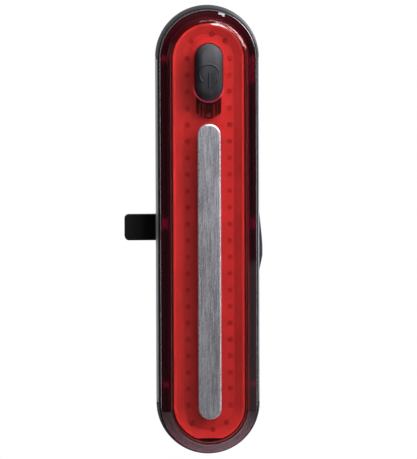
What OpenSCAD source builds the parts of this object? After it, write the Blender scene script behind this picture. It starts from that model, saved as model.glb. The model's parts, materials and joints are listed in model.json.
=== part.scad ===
// Bike rear light: an oblong lamp with a red lens, on a rail bracket that a rubber strap ties to a tube.
// Millimetres. +Z runs up the lamp, the lens faces -Y, and the origin is on the axis of the held tube.
// Inside the lamp, depth is counted from the back of the housing (0) towards the lens.

/* [Lamp body] */
// Overall length of the lamp
lamp_len = 100; // [90:1:130]
// Overall width of the lamp, across the belly of its flanks
lamp_w = 23; // [22:0.5:27]
// Wall of the housing's back
back_wall = 1.6; // [1.2:0.1:2.4]
// Wall of the housing's flanks behind the lens, measured at the belly
flank_wall = 2.25; // [2.1:0.05:2.6]
// Radius of the edge round the housing's back
back_round = 3.5; // [2.5:0.25:4.5]
// Radius of the outward belly of the flanks
belly_round = 16; // [13:0.5:30]

/* [Lens] */
// Width of the lens's flat face
window_w = 16.5; // [14.5:0.25:17]
// Height of the lens face above the seal
lens_rise = 4.7; // [4:0.1:6]
// Wall of the lens's face
lens_wall = 1.6; // [1.2:0.1:2]
// Wall of the lens's sloping band
band_wall = 1.2; // [0.9:0.05:1.4]
// Height of the upright edge round the lens
lens_edge = 0.9; // [0.6:0.1:1.4]
// Thickness of the seal between housing and lens
seal_t = 0.5; // [0.3:0.1:0.9]
// Spacing of the three pairs of snap hooks
hook_pitch = 34.6; // [25:0.2:36]
// Width of a snap hook
hook_w = 5; // [3:0.5:6]

/* [Silver strip] */
// Width of the brushed strip on the lens
strip_w = 5.2; // [4:0.1:6.5]
// Length of the brushed strip
strip_len = 65.8; // [40:0.2:67]
// Thickness of the strip
strip_t = 0.5; // [0.4:0.05:0.8]
// Distance from the lamp's lower end to the strip's lower end
strip_foot = 8.5; // [7:0.1:11]

/* [Button] */
// Width of the rubber button
button_w = 6.0; // [5.6:0.1:6.6]
// Length of the rubber button
button_len = 12.5; // [11:0.1:13.4]
// Height of the button above the lens face
button_rise = 2.2; // [1.2:0.1:3]
// Distance from the lamp's upper end to the middle of the button
button_drop = 14.3; // [13.8:0.1:15]
// Travel of the button
button_travel = 0.6; // [0.3:0.05:0.7]

/* [Light source] */
// Depth of the white reflector tray
tray_h = 1.9; // [1.7:0.05:2.6]
// Spacing of the light chips along the sides
led_pitch = 3.67; // [3:0.01:6]
// Side of one light chip
led_size = 0.8; // [0.6:0.1:1.2]
// Thickness of both circuit boards
board_t = 1; // [0.8:0.1:1.6]
// Room between the two circuit boards
board_room = 2; // [1.8:0.1:4]

/* [Battery and charging] */
// Length of the battery
battery_len = 47; // [30:1:50]
// Width of the battery
battery_w = 13.6; // [10:0.2:14]
// Thickness of the battery
battery_t = 5.8; // [4.8:0.1:8]
// Thickness of the foam pad under the battery
foam_t = 0.8; // [0.5:0.1:1.5]
// Distance from the lamp's lower end to the middle of the charging socket
socket_foot = 10.4; // [10:0.1:12]
// Thickness of the charging socket's cover
cover_t = 1.3; // [1:0.1:1.5]

/* [Bracket and strap] */
// Diameter of the held tube
tube_d = 16; // [15:0.5:22]
// Thickness of the rubber saddle pad
pad_t = 1.6; // [1:0.1:2.5]
// Height of the bracket
bracket_h = 22; // [20:0.5:26]
// Width of the rail's head
rail_w = 10; // [8:0.2:10.4]
// Length of the rail
rail_len = 18; // [12:0.5:18]
// Thickness of the strap
strap_t = 1.8; // [1.4:0.1:2]
// Width of the strap round the tube
strap_w = 10; // [8:0.5:12]
// Width of the strap's pull tab
tab_w = 5.8; // [5.4:0.1:7.5]
// Length of the pull tab past the lamp's flank
tab_len = 6.6; // [4:0.1:12]

/* [Clearances] */
// Gap of a running or sliding fit between moving pieces
run_gap = 0.2; // [0.12:0.02:0.26]
// Gap between pieces that are dropped in and stay put
seat_gap = 0.1; // [0.05:0.01:0.14]
// Radial gap of a pivot or a plunger in its bore
pivot_gap = 0.05; // [0.03:0.01:0.08]

/* [Hidden] */
$fn = 64;
// Steps in a rounded corner of a profile
corner_steps = 6;
// Overshoot of a cut past the face that it opens
cut = 1;
// Root of a shape inside the wall that carries it
root = 0.1;
// Gap round pieces that are only laid in place
loose_gap = 0.15;

// Stadium of the lamp
end_r = lamp_w / 2;
span = lamp_len / 2 - end_r;

// Depths, stacked from the housing's back to the lens
cell_room = 0.8;
battery_d = back_wall + foam_t;
control_d = battery_d + battery_t + cell_room;
control_front = control_d + board_t;
led_d = control_front + board_room;
led_front = led_d + board_t;
tray_top = led_front + tray_h;
lens_under = tray_top + run_gap;
lens_face = lens_under + lens_wall;
lens_base = lens_face - lens_rise;
rim_d = lens_base - seal_t;
ledge_h = 2.6;
bezel_d = led_d - ledge_h;

// Outer flank of the housing: a back edge that runs tangent into a wide belly
belly_back = 4;
belly_d = rim_d - belly_back;
belly_c = [end_r - belly_round, belly_d];
edge_reach = belly_round - back_round;
edge_c = [belly_c[0] + sqrt(edge_reach ^ 2 - (belly_d - back_round) ^ 2), back_round];
edge_angle = atan2(edge_c[1] - belly_d, edge_c[0] - belly_c[0]);
rim_angle = asin((rim_d - belly_d) / belly_round);
rim_r = belly_c[0] + belly_round * cos(rim_angle);

// Radii from the housing's wall inwards
inner_r = end_r - flank_wall;
inner_round = 2;
seal_step = 0.15;
seal_r = rim_r - seal_step;
seal_in = inner_r + 0.2;
lens_r = rim_r - 2 * seal_step;
skirt_t = 0.6;
skirt_r = inner_r - seat_gap;
skirt_in = skirt_r - skirt_t;
bezel_r = skirt_in - loose_gap;
bezel_t = 0.65;
bezel_in = bezel_r - bezel_t;
led_board_r = bezel_in - loose_gap;
ledge_w = 0.7;
ledge_in = led_board_r - ledge_w;
tray_fit = loose_gap - pivot_gap;
tray_r = led_board_r + tray_fit;
board_inset = 0.3;
control_r = ledge_in - board_inset;

// Sloping band of the lens, with its rounded edges
window_r = window_w / 2;
window_round = 1.6;
lens_edge_round = 1.2;
lens_under_round = 0.5;
band_run = lens_r - window_r;
band_drop = lens_rise - lens_edge;
band_shift = band_wall * norm([band_run, band_drop]) / band_drop;
function band_in_r(d) = window_r + (lens_face - d) * band_run / band_drop - band_shift;
function band_in_d(r) = lens_face - (r - window_r + band_shift) * band_drop / band_run;

// Snap hooks
hook_mid = 1.8;
hook_reach = 0.6;
hook_h = 0.8;
hook_lift = 0.3;
skirt_foot = bezel_d + run_gap;
hook_d = skirt_foot + hook_lift;
hook_rows = [for (i = [-1:1]) hook_mid + i * hook_pitch];

// Side rails
side_half = 3.3;
side_shift = 0.2;
side_d = belly_d + side_shift;
side_depth = 1;
side_floor = end_r - side_depth;
side_end = span - loose_gap;
side_gap = 0.3;
peg_r = 1;
peg_len = 0.9;
peg_row = 20;

// Strip and button places along the lamp
strip_mid = -lamp_len / 2 + strip_foot + strip_len / 2;
strip_half = strip_len / 2 - strip_w / 2;
strip_sink = 0.35;
strip_bevel = 0.2;
button_mid = lamp_len / 2 - button_drop;
button_r = button_w / 2;
button_half = button_len / 2 - button_r;
button_low = button_mid - button_half;
button_face = lens_face + button_rise;
button_wall = 0.8;
button_skin = 1.8;
button_round = 1.7;
button_crown = 14;
hole_r = button_r + run_gap;
hole_bevel = 0.25;
stem_r = 1.2;
stem_root = 1;

// Well in the tray: a collar whose lip holds the button's flange
tray_floor = 0.5;
floor_d = led_front + tray_floor;
collar_lip = 0.4;
collar_wall = 0.35;
lip_d = tray_top - collar_lip;
flange_w = 0.5;
flange_t = 0.5;
flange_r = button_r + flange_w;
flange_top = lip_d - seat_gap;
flange_foot = flange_top - flange_t;
well_r = flange_r + run_gap;
collar_r = well_r + collar_wall;

// Switch under the button
switch_w = 2 * (button_r - button_wall - loose_gap);
switch_h = 1.6;
plunger_r = 0.9;
plunger_in = 0.7;
plunger_proud = 0.3;
plunger_top = led_front + switch_h + button_travel + plunger_proud;
plunger_foot = led_front + switch_h - plunger_in;
stem_foot = plunger_top + pivot_gap;

// Comb at the button's foot that guides its tongue; each rib as [offset, width]
tongue_w = 0.75;
tongue_len = 2.4;
tongue_tip = button_low - flange_r - tongue_len;
guide_slot = tongue_w + 2 * run_gap;
guide_half = 2.75;
guide_round = 3.5;
guide_drop = 3.6;
guide_bar = 0.3;
guide_bridge = 0.4;
guide_ribs = [[0.75, 0.35], [1.6, 0.35], [2.45, 0.6]];
guide_centre = button_low - guide_drop;
guide_foot = guide_centre - guide_round;
guide_head = 1.45;
guide_brow = guide_centre + guide_head;

// Light chips: two rows and three more round each end
led_inset = 2.95;
led_x = led_board_r - led_inset;
led_h = 0.6;
led_count = round(2 * span / led_pitch) + 1;
led_step = 2 * span / (led_count - 1);
led_window_share = 0.77;
led_window = led_size * led_window_share;
led_end_out = 0.8;
led_end_r = led_x + led_end_out;
led_angles = [46, 82, 134];
led_places = concat(
    [for (side = [-1, 1], i = [0:led_count - 1]) [side * led_x, -span + i * led_step]],
    [for (end = [-1, 1], a = led_angles) [led_end_r * cos(a), end * (span + led_end_r * sin(a))]]);
tray_rim = 0.35;
tray_slope = 2.1;
flat_drop = 0.5;
flat_end = span + tray_r - flat_drop;

// Boards, battery and screws
socket_mid = -lamp_len / 2 + socket_foot;
socket_r = 1.63;
socket_half = 2.84;
socket_wall = 0.3;
socket_floor = 1;
contact_half = 3.3;
contact_t = 0.7;
contact_sink = 0.9;
contact_root = 0.5;
boss_r = 2;
boss_gap = 2.5;
screw_r = 0.85;
screw_len = 5;
screw_room = 0.4;
screw_hole_r = screw_r + 0.25;
screw_head_r = 1.7;
screw_head_h = 1.1;
screw_clear = 2;
low_screw = socket_mid + socket_r + boss_gap + boss_r + screw_clear;
battery_foot = low_screw + boss_r + boss_gap;
battery_mid = battery_foot + battery_len / 2;
high_screw = battery_foot + battery_len + boss_gap + boss_r;
screw_rows = [low_screw, high_screw];
board_tail = 3.5;
control_top = high_screw + board_tail;
cell_edge = 0.6;
cell_round = 1.8;
foam_inset = 1;
header_w = 7.6;
header_h = 2.4;
// Control chips as shares: [across, along, side] of the board's and battery's size, and height of the room
chip_shares = [[-0.33, 0.64, 0.6, 0.45], [0.45, 0.47, 0.45, 0.75], [-0.45, 0.3, 0.45, 0.65],
    [0.45, 0.17, 0.3, 0.45], [-0.45, 0.085, 0.24, 0.4]];
rib_w = 2;
rib_hold = 0.7;
rib_root = 0.5;
rib_tip = bezel_r - rib_hold;
rib_rows = [for (i = [-1.5:1:1.5]) i * span / 2];
lead_r = 0.5;
lead_x = 3;
lead_bend = 1.2;
lead_out = 0.6;
lead_d = battery_d + battery_t / 2;

// Charging cover, hinged at its lower edge, and the bay that it closes
cover_half = 5.6;
cover_up = 4.2;
cover_down = 3.8;
cover_round = 1.4;
cover_top = socket_mid + cover_up;
hinge_row = socket_mid - cover_down;
hinge_d = cover_t / 2;
stub_r = 0.5;
stub_len = 0.8;
pocket_d = cover_t + run_gap;
bay_low = 1.2;
bay_wall = 1.4;
nail_r = 2.4;
nail_d = 0.9;
port_wall = 1.5;
port_sink = 0.3;
port_face = pocket_d + port_sink;
plug_h = 1;
plug_gap = 0.33;

// Bracket, from the tube forwards
tube_r = tube_d / 2;
saddle_r = tube_r + pad_t;
saddle_wall = 1.4;
head_t = 1.6;
lip_t = 1.2;
channel_y = saddle_r + saddle_wall;
lip_y = channel_y + head_t + 2 * run_gap;
bracket_front = lip_y + lip_t;
bracket_back = tube_r / 2;
rail_room = 0.3;
lamp_back = bracket_front + rail_room;
rail_lip = 1.8;
neck_w = rail_w - 2 * rail_lip;
neck_h = lip_t + rail_room + run_gap;
saddle_trim = 0.4;
channel_wall = 1.6;
bracket_half = max(tube_r - saddle_trim, rail_w / 2 + run_gap + channel_wall);
bracket_round = 1.2;
bracket_soft = 0.9;
bracket_foot = -bracket_h / 2;
stop_h = 2.4;
rail_foot = bracket_foot + stop_h;
pad_angle = 112;
pad_margin = 2;
pad_h = bracket_h - 2 * pad_margin;

// Strap: a half turn round the tube and two legs, with a bead on the right and a pull tab on the left
leg_x = tube_r + strap_t / 2;
bead_back = 3.2;
bead_y = bracket_front - bead_back;
bead_r = 1.3;
bead_foot = -strap_w / 2;
lug_reach = 3.9;
lug_root = 1;
lug_half = 2.9;
lug_round = 2.4;
lug_top = 4.5;
lug_foot = -10.5;
lug_peak = -6;
lug_bulge = 0.15;
lug_taper = 0.95;
lug_ease = 4;
lug_corner = 0.6;
tab_bend = 2;
tab_step = 1;
tab_z = -0.25;
tab_y = bead_y + tab_step;
bend_x = leg_x + tab_bend;
bend_y = tab_y - tab_bend;
tab_tip = end_r + tab_len;
tip_bow = 0.3;
tip_bow_r = 12;
tip_round = 1;
finger_t = 1.5;
finger_w = 4;
finger_back = 3.6;
finger_y = bead_y - finger_back;
finger_lip = 0.8;
finger_root = 1;
slot_room = 0.35;

// Profile helpers
function unit(v) = v / norm(v);
function arc(c, r, a0, a1, n = 8) =
    [for (i = [0:n]) let (a = a0 + (a1 - a0) * i / n) c + r * [cos(a), sin(a)]];
function corner(a, b, c, r) =
    let (u = unit(a - b), v = unit(c - b), half = acos(u * v) / 2,
        m = b + unit(u + v) * r / sin(half), s = b + u * r / tan(half) - m, e = b + v * r / tan(half) - m,
        a0 = atan2(s[1], s[0]), turn = (atan2(e[1], e[0]) - a0 + 540) % 360 - 180)
    arc(m, r, a0, a0 + turn, corner_steps);
function flat(p) = [p[0], p[1]];
// Outline through points [x, y, radius], with each corner rounded to its radius
function rounded(p) =
    let (n = len(p))
    [for (i = [0:n - 1])
        each (len(p[i]) > 2 ? corner(flat(p[(i + n - 1) % n]), flat(p[i]), flat(p[(i + 1) % n]), p[i][2])
            : [flat(p[i])])];

// Places a shape drawn as [across, along, depth] into the lamp
module in_lamp() translate([0, -lamp_back, 0]) rotate([90, 0, 0]) children();

// Carries a half profile [radius, depth] round a stadium with end centres at +half and -half
module oblong(half) {
    for (end = [0, 180])
        rotate(end) translate([0, half, 0]) rotate_extrude(angle = 180) children();
    rotate([90, 0, 0]) linear_extrude(2 * half, center = true) {
        children();
        mirror([1, 0]) children();
    }
}

module pill(r, half, d, h) translate([0, 0, d]) oblong(half) square([r, h]);

module block(x0, x1, y0, y1, z0, z1) translate([x0, y0, z0]) cube([x1 - x0, y1 - y0, z1 - z0]);

function flank() = concat(
    arc(edge_c, back_round, -90, edge_angle),
    arc(belly_c, belly_round, edge_angle, rim_angle, 12));

module housing_profile() polygon(concat([[0, 0]], flank(), [[inner_r, rim_d]],
    arc([inner_r - inner_round, back_wall + inner_round], inner_round, 0, -90), [[0, back_wall]]));

// Solid of the housing's outside, for pieces that lie flush with it
module outside_profile() polygon(concat([[0, 0]], flank(), [[0, rim_d]]));

module hooks(grow, d0, d1)
    for (row = hook_rows, side = [-1, 1])
        translate([side * (skirt_r + (hook_reach + grow) / 2 - root), row, (d0 + d1) / 2])
            cube([hook_reach + grow + 2 * root, hook_w + 2 * grow, d1 - d0], center = true);

// T rail on the housing's back that slides down into the bracket
module t_rail() {
    block(-neck_w / 2, neck_w / 2, rail_foot + seat_gap, rail_foot + rail_len, -neck_h, 0);
    block(-rail_w / 2, rail_w / 2, rail_foot + seat_gap, rail_foot + rail_len, -neck_h - head_t, -neck_h);
}

// Ribs inside the flanks that carry the bezel
module support_ribs()
    for (row = rib_rows, side = [-1, 1])
        translate([side * (rib_tip + inner_r + rib_root) / 2, row, (back_wall + bezel_d) / 2])
            cube([inner_r + rib_root - rib_tip, rib_w, bezel_d - back_wall], center = true);

module side_pegs(shrink)
    for (side = [-1, 1])
        translate([side_floor - peg_len - root + 2 * shrink, side * peg_row, side_d]) rotate([0, 90, 0])
            cylinder(r = peg_r - shrink, h = peg_len + root);

module side_pocket(gap)
    block(side_floor, end_r + cut, -side_end - gap, side_end + gap, side_d - side_half - gap,
        side_d + side_half + gap);

// Cover's outline, grown by a gap and carried down past the hinge by low
module cover_outline(gap, low) polygon(rounded([
    [-cover_half - gap, hinge_row - low], [cover_half + gap, hinge_row - low],
    [cover_half + gap, cover_top + gap, cover_round + gap],
    [-cover_half - gap, cover_top + gap, cover_round + gap]]));

module charging_bay() {
    translate([0, 0, -cut]) linear_extrude(cut + pocket_d) cover_outline(run_gap, bay_low);
    translate([0, cover_top, -cut]) cylinder(r = nail_r, h = cut + nail_d);
    translate([0, socket_mid, 0]) rotate(90)
        pill(socket_r + seat_gap, socket_half, 0, pocket_d + port_wall + cut);
    translate([0, hinge_row, hinge_d]) rotate([0, 90, 0])
        cylinder(r = stub_r + pivot_gap, h = 2 * (cover_half + stub_len + seat_gap), center = true);
}

module rear_housing() color("#3b3c40") in_lamp() difference() {
    union() {
        oblong(span) housing_profile();
        support_ribs();
        for (row = screw_rows)
            translate([0, row, back_wall / 2]) cylinder(r = boss_r, h = control_d - back_wall / 2);
        block(-cover_half - bay_wall, cover_half + bay_wall, hinge_row - bay_low - bay_wall / 2,
            cover_top + bay_wall, back_wall / 2, pocket_d + port_wall);
        t_rail();
    }
    hooks(run_gap, hook_d - run_gap, hook_d + hook_h + run_gap);
    for (row = screw_rows)
        translate([0, row, control_d - screw_len - screw_room]) cylinder(r = screw_r, h = screw_len + cut);
    for (side = [0, 1]) mirror([side, 0, 0]) {
        side_pocket(side_gap / 2);
        side_pegs(0);
    }
    charging_bay();
}

// Grey trim let into one flank, held by two pegs
module side_rail() in_lamp() {
    intersection() {
        oblong(span) outside_profile();
        side_pocket(-side_gap / 2);
    }
    side_pegs(pivot_gap);
}

module side_rail_left() color("#8b8e93") mirror([1, 0, 0]) side_rail();

module side_rail_right() color("#8b8e93") side_rail();

module seal_gasket() color("#101010") in_lamp()
    translate([0, 0, rim_d]) oblong(span) translate([seal_in, 0]) square([seal_r - seal_in, seal_t]);

module lens_profile() polygon(rounded([
    [0, lens_face], [window_r, lens_face, window_round], [lens_r, lens_base + lens_edge, lens_edge_round],
    [lens_r, lens_base], [skirt_r, lens_base], [skirt_r, skirt_foot], [skirt_in, skirt_foot],
    [skirt_in, band_in_d(skirt_in)], [band_in_r(lens_under), lens_under, lens_under_round],
    [0, lens_under]]));

// Hole for the button, with a bevelled mouth
module button_hole() translate([0, button_mid, 0]) oblong(button_half) polygon([
    [0, lens_under - cut], [hole_r, lens_under - cut], [hole_r, lens_face - hole_bevel],
    [hole_r + hole_bevel + cut, lens_face + cut], [0, lens_face + cut]]);

module front_lens() color("#c01818", 0.6) in_lamp() {
    difference() {
        oblong(span) lens_profile();
        button_hole();
        translate([0, strip_mid, 0])
            pill(strip_w / 2 + pivot_gap, strip_half, lens_face - strip_sink, strip_sink + cut);
    }
    hooks(0, hook_d, hook_d + hook_h);
}

module strip_profile() polygon([
    [0, 0], [strip_w / 2, 0], [strip_w / 2, strip_t - strip_bevel], [strip_w / 2 - strip_bevel, strip_t],
    [0, strip_t]]);

module silver_strip() color("#b4b4b8") in_lamp()
    translate([0, strip_mid, lens_face - strip_sink]) oblong(strip_half) strip_profile();

module button_profile() polygon(rounded([
    [0, button_face], [button_r, button_face, button_round], [button_r, flange_top],
    [flange_r, flange_top], [flange_r, flange_foot], [button_r - button_wall, flange_foot],
    [button_r - button_wall, button_face - button_skin], [0, button_face - button_skin]]));

// Button with a crown along its length, a stem over the switch and a tongue at its foot
module power_button() color("#36373a") in_lamp() {
    translate([0, button_mid, 0]) intersection() {
        oblong(button_half) button_profile();
        translate([0, 0, button_face - button_crown]) rotate([0, 90, 0])
            cylinder(r = button_crown, h = lamp_w, center = true);
    }
    translate([0, button_mid, stem_foot]) cylinder(r = stem_r, h = button_face - stem_root - stem_foot);
    block(-tongue_w / 2, tongue_w / 2, tongue_tip, button_low - button_r, flange_foot, flange_top);
}

// Room for the button, its flange and its travel
module button_well() translate([0, button_mid, 0]) {
    pill(well_r, button_half, led_front - cut, lip_d - led_front + cut);
    pill(hole_r, button_half, led_front - cut, tray_h + 2 * cut);
}

module tongue_slot(d0, d1)
    block(-guide_slot / 2, guide_slot / 2, tongue_tip - run_gap, button_low, d0, d1);

// Space of the comb on the tray's floor, grown by a gap
module guide_space(gap)
    block(-guide_half - gap, guide_half + gap, guide_foot - gap, guide_brow + gap, floor_d, tray_top + gap);

// Comb that closes the well's lower end: a bar along the button's foot, ribs and a bridge round the tongue
module button_guide() color("#161616") in_lamp() difference() {
    intersection() {
        guide_space(0);
        translate([0, guide_centre, led_front]) cylinder(r = guide_round, h = tray_h);
        union() {
            translate([0, button_low, led_front]) cylinder(r = well_r + guide_bar, h = tray_h);
            for (side = [-1, 1], rib = guide_ribs)
                translate([side * rib[0] - rib[1] / 2, guide_foot, led_front])
                    cube([rib[1], guide_brow - guide_foot, tray_h]);
            block(-guide_ribs[0][0], guide_ribs[0][0], guide_foot, guide_foot + guide_bridge, led_front,
                tray_top);
        }
    }
    button_well();
    tongue_slot(led_front, lip_d);
}

module bezel_profile() polygon([
    [ledge_in, bezel_d], [bezel_r, bezel_d], [bezel_r, band_in_d(bezel_r) - run_gap],
    [bezel_in, band_in_d(bezel_in) - run_gap], [bezel_in, led_d], [ledge_in, led_d]]);

module bezel_frame() color("#0d0d0e") in_lamp() oblong(span) bezel_profile();

module tray_profile() polygon([
    [0, led_front], [tray_r, led_front], [tray_r, tray_top], [tray_r - tray_rim, tray_top],
    [tray_r - tray_slope, floor_d], [0, floor_d]]);

// Flat on the lower end of the tray and the light board
module flat_cut() block(-end_r, end_r, -lamp_len, -flat_end, led_d - cut, tray_top + cut);

module reflector_tray() color("#f2f0ec") in_lamp() difference() {
    union() {
        oblong(span) tray_profile();
        translate([0, button_mid, 0]) pill(collar_r, button_half, led_front, tray_h);
    }
    for (p = led_places)
        translate([p[0], p[1], led_front - cut]) cylinder(r = led_window, h = tray_h + 2 * cut);
    button_well();
    tongue_slot(led_front - cut, tray_top);
    guide_space(seat_gap);
    flat_cut();
}

module led_board() color("#eeeeea") in_lamp() difference() {
    pill(led_board_r, span, led_d, board_t);
    flat_cut();
}

module led_chips() color("#f4e2a0") in_lamp()
    for (p = led_places)
        translate([p[0], p[1], led_front + led_h / 2]) cube([led_size, led_size, led_h], center = true);

module tact_switch() color("#1b1b1d") in_lamp() translate([0, button_mid, led_front]) difference() {
    translate([0, 0, switch_h / 2]) cube([switch_w, switch_w, switch_h], center = true);
    translate([0, 0, switch_h - plunger_in - button_travel - seat_gap])
        cylinder(r = plunger_r + pivot_gap, h = switch_h + cut);
}

module switch_plunger() color("#caa24a") in_lamp() translate([0, button_mid, plunger_foot])
    cylinder(r = plunger_r, h = plunger_top - plunger_foot);

module control_board() color("#1f5d3a") in_lamp() difference() {
    union() {
        translate([0, -span, control_d]) rotate_extrude(angle = 180, start = 180)
            square([control_r, board_t]);
        block(-control_r, control_r, -span, control_top, control_d, control_front);
    }
    for (row = screw_rows)
        translate([0, row, control_d - cut]) cylinder(r = screw_hole_r, h = board_t + 2 * cut);
}

module control_chips() color("#202022") in_lamp()
    for (c = chip_shares)
        translate([c[0] * control_r, battery_foot + c[1] * battery_len,
            control_front + c[3] * board_room / 2])
            cube([c[2] * control_r, c[2] * control_r, c[3] * board_room], center = true);

module board_header() color("#26262a") in_lamp()
    translate([0, socket_mid, (control_front + led_d) / 2])
        cube([header_w, header_h, board_room], center = true);

module board_screws() color("#a9abb0") in_lamp()
    for (row = screw_rows) translate([0, row, 0]) {
        translate([0, 0, control_front]) cylinder(r = screw_head_r, h = screw_head_h);
        translate([0, 0, control_front - screw_len])
            cylinder(r = screw_r - pivot_gap, h = screw_len + screw_head_h / 2);
    }

module battery_cell() color("#b9bcc2") in_lamp() translate([0, battery_mid, 0]) rotate([90, 0, 0])
    linear_extrude(battery_len, center = true) polygon(rounded([
        [-battery_w / 2, battery_d, cell_edge], [battery_w / 2, battery_d, cell_edge],
        [battery_w / 2, battery_d + battery_t, cell_round],
        [-battery_w / 2, battery_d + battery_t, cell_round]]));

module battery_pad() color("#303034") in_lamp()
    block(-battery_w / 2 + foam_inset, battery_w / 2 - foam_inset, battery_foot + 2 * foam_inset,
        battery_foot + battery_len - 2 * foam_inset, back_wall, battery_d);

// Two wires from the battery's upper end to the back of the control board
module battery_leads() color("#b3261e") in_lamp()
    for (side = [-1, 1]) translate([side * lead_x, battery_foot + battery_len, lead_d]) {
        rotate([-90, 0, 0]) cylinder(r = lead_r, h = lead_out, $fn = 24);
        translate([0, lead_out, lead_bend]) rotate([0, 90, 0]) rotate_extrude(angle = 90, $fn = 24)
            translate([lead_bend, 0]) circle(lead_r);
        translate([0, lead_out + lead_bend, lead_bend])
            cylinder(r = lead_r, h = control_d - lead_d - lead_bend, $fn = 24);
    }

module usb_socket() color("#c3c5c9") in_lamp() translate([0, socket_mid, 0]) {
    rotate(90) difference() {
        pill(socket_r, socket_half, port_face, control_d - port_face);
        pill(socket_r - socket_wall, socket_half, port_face - cut,
            control_d - port_face + cut - socket_floor);
    }
    block(-contact_half, contact_half, -contact_t / 2, contact_t / 2, port_face + contact_sink,
        control_d - contact_root);
}

// Port cover with a shallow plug, on two stubs in the housing
module usb_cover() color("#1a1a1b") in_lamp() {
    linear_extrude(cover_t) cover_outline(0, 0);
    translate([0, hinge_row, hinge_d]) rotate([0, 90, 0]) {
        rotate_extrude(angle = 180, start = 90) translate([0, -cover_half]) square([hinge_d, 2 * cover_half]);
        cylinder(r = stub_r, h = 2 * (cover_half + stub_len), center = true);
    }
    translate([0, socket_mid, 0]) rotate(90)
        pill(socket_r - socket_wall - plug_gap, socket_half, cover_t / 2, cover_t / 2 + plug_h);
}

// Bulged outline of the lug that holds the strap's bead, in the X-Z plane
module lug_outline() polygon(rounded([
    [0, lug_top], [leg_x + lug_reach - lug_taper, lug_top, lug_corner],
    [leg_x + lug_reach + lug_bulge, lug_peak, lug_ease],
    [leg_x + lug_reach - lug_taper, lug_foot, lug_corner], [0, lug_foot]]));

module bead_lug() intersection() {
    translate([0, 0, lug_foot]) linear_extrude(lug_top - lug_foot) polygon(rounded([
        [bracket_half - lug_root, -bead_y - lug_half], [leg_x + lug_reach, -bead_y - lug_half, lug_round],
        [leg_x + lug_reach, -bead_y + lug_half, lug_round], [bracket_half - lug_root, -bead_y + lug_half]]));
    rotate([90, 0, 0]) linear_extrude(2 * lamp_back) lug_outline();
}

// Bore for the strap's bead, open upwards, with a mouth for the leg
module bead_socket() translate([leg_x, -bead_y, bead_foot - run_gap]) {
    cylinder(r = bead_r + seat_gap, h = bracket_h);
    translate([-strap_t / 2 - run_gap, 0, 0]) cube([strap_t + 2 * run_gap, 2 * lug_half, bracket_h]);
}

module strap_hook() {
    tip = leg_x + strap_t / 2 + slot_room;
    block(-tip - finger_lip, -bracket_half + finger_root, -finger_y - finger_t, -finger_y,
        -finger_w / 2, finger_w / 2);
    block(-tip - finger_lip, -tip, -finger_y - finger_t - finger_lip, -finger_y, -finger_w / 2, finger_w / 2);
}

// Block of the bracket, with rounded upright edges and softened upper and lower front edges
module bracket_block() intersection() {
    translate([0, 0, bracket_foot]) linear_extrude(bracket_h) polygon(rounded([
        [-bracket_half, -bracket_front, bracket_round], [bracket_half, -bracket_front, bracket_round],
        [bracket_half, -bracket_back], [-bracket_half, -bracket_back]]));
    rotate([90, 0, 90]) linear_extrude(4 * bracket_half, center = true) polygon(rounded([
        [-bracket_front, bracket_foot, bracket_soft], [0, bracket_foot], [0, -bracket_foot],
        [-bracket_front, -bracket_foot, bracket_soft]]));
}

module bracket_base() color("#19191b") difference() {
    union() {
        bracket_block();
        bead_lug();
        strap_hook();
    }
    bead_socket();
    cylinder(r = saddle_r, h = 2 * bracket_h, center = true);
    block(-rail_w / 2 - run_gap, rail_w / 2 + run_gap, -lip_y, -channel_y, rail_foot, bracket_h);
    block(-neck_w / 2 - run_gap, neck_w / 2 + run_gap, -bracket_front - cut, -lip_y + cut, rail_foot,
        bracket_h);
}

module saddle_pad() color("#222224") intersection() {
    translate([0, 0, -pad_h / 2]) rotate_extrude(angle = pad_angle, start = 270 - pad_angle / 2)
        translate([tube_r, 0]) square([pad_t, pad_h]);
    block(-bracket_half, bracket_half, -lamp_back, 0, -bracket_h, bracket_h);
}

// Leg of the strap on the right, from the tube's middle forwards
module strap_leg(length) block(tube_r, tube_r + strap_t, -length, 0, -strap_w / 2, strap_w / 2);

module pull_tab() {
    reach = tab_tip - bend_x;
    rotate([90, 0, 0]) linear_extrude(strap_t, center = true) polygon(rounded([
        [0, -tab_w / 2], [reach - tip_bow, -tab_w / 2, tip_round], [reach, 0, tip_bow_r],
        [reach - tip_bow, tab_w / 2, tip_round], [0, tab_w / 2]]));
}

module strap() color("#141415") {
    rotate_extrude(angle = 180) translate([tube_r, -strap_w / 2]) square([strap_t, strap_w]);
    strap_leg(bead_y);
    translate([leg_x, -bead_y, bead_foot]) cylinder(r = bead_r, h = lug_top - bead_foot - run_gap);
    mirror([1, 0, 0]) {
        difference() {
            strap_leg(bend_y);
            translate([leg_x, -finger_y - finger_t / 2, 0])
                cube([2 * strap_t, finger_t + 2 * slot_room, finger_w + 2 * slot_room], center = true);
        }
        translate([bend_x, -bend_y, tab_z]) rotate_extrude(angle = 90, start = 180)
            translate([tab_bend - strap_t / 2, -tab_w / 2]) square([strap_t, tab_w]);
        translate([bend_x, -tab_y, tab_z]) pull_tab();
    }
}

rear_housing();
side_rail_left();
side_rail_right();
seal_gasket();
front_lens();
silver_strip();
power_button();
button_guide();
bezel_frame();
reflector_tray();
led_board();
led_chips();
tact_switch();
switch_plunger();
control_board();
control_chips();
board_header();
board_screws();
battery_cell();
battery_pad();
battery_leads();
usb_socket();
usb_cover();
bracket_base();
saddle_pad();
strap();
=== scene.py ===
import json
import math
import bmesh
import bpy
import numpy as np
from mathutils import Matrix, Vector


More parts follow.
